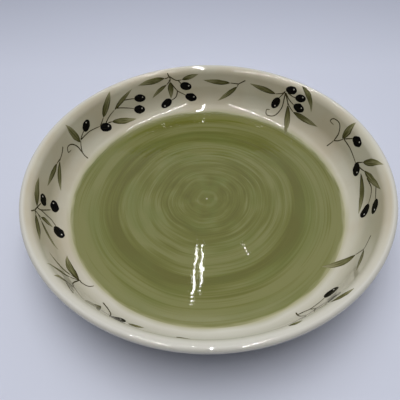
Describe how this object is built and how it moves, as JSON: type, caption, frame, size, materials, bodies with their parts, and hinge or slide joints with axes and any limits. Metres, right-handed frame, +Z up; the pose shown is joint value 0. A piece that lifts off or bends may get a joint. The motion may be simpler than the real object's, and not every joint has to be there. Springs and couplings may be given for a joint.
{
  "type": "olive dish",
  "caption": "Round shallow glazed earthenware serving bowl with a green washed floor, cream wall, rolled rim, foot ring and painted olive sprigs round the wall.",
  "frame": {"origin": "bottom centre, where the foot ring stands on the table", "axes": "+Z up along the dish's axis of turning, -Y towards the camera, +X to the right"},
  "size_m": [0.33, 0.33, 0.06],
  "materials": {
    "clay": "bare fired clay, matte and slightly gritty",
    "cream_glaze": "glossy cream glaze with faint brush streaks",
    "green_wash": "glossy olive green wash, banded in rings",
    "ring_wash": "glossy olive green wash, one dark ring and one light",
    "stem_paint": "glossy brown green brush line",
    "leaf_paint": "glossy olive brown brush stroke, thinner at its tip",
    "olive_paint": "glossy near black brush stroke",
    "white_paint": "glossy dab of white",
    "outer_glaze": "glossy cream glaze"
  },
  "bodies": {
    "root": {"clay_body": "clay", "inside_glaze": "cream_glaze", "green_wash": "green_wash", "wash_rings": "ring_wash", "painted_stems": "stem_paint", "painted_leaves": "leaf_paint", "painted_olives": "olive_paint", "olive_lights": "white_paint", "outside_glaze": "outer_glaze", "recess_glaze": "outer_glaze"}
  },
  "joints": []
}
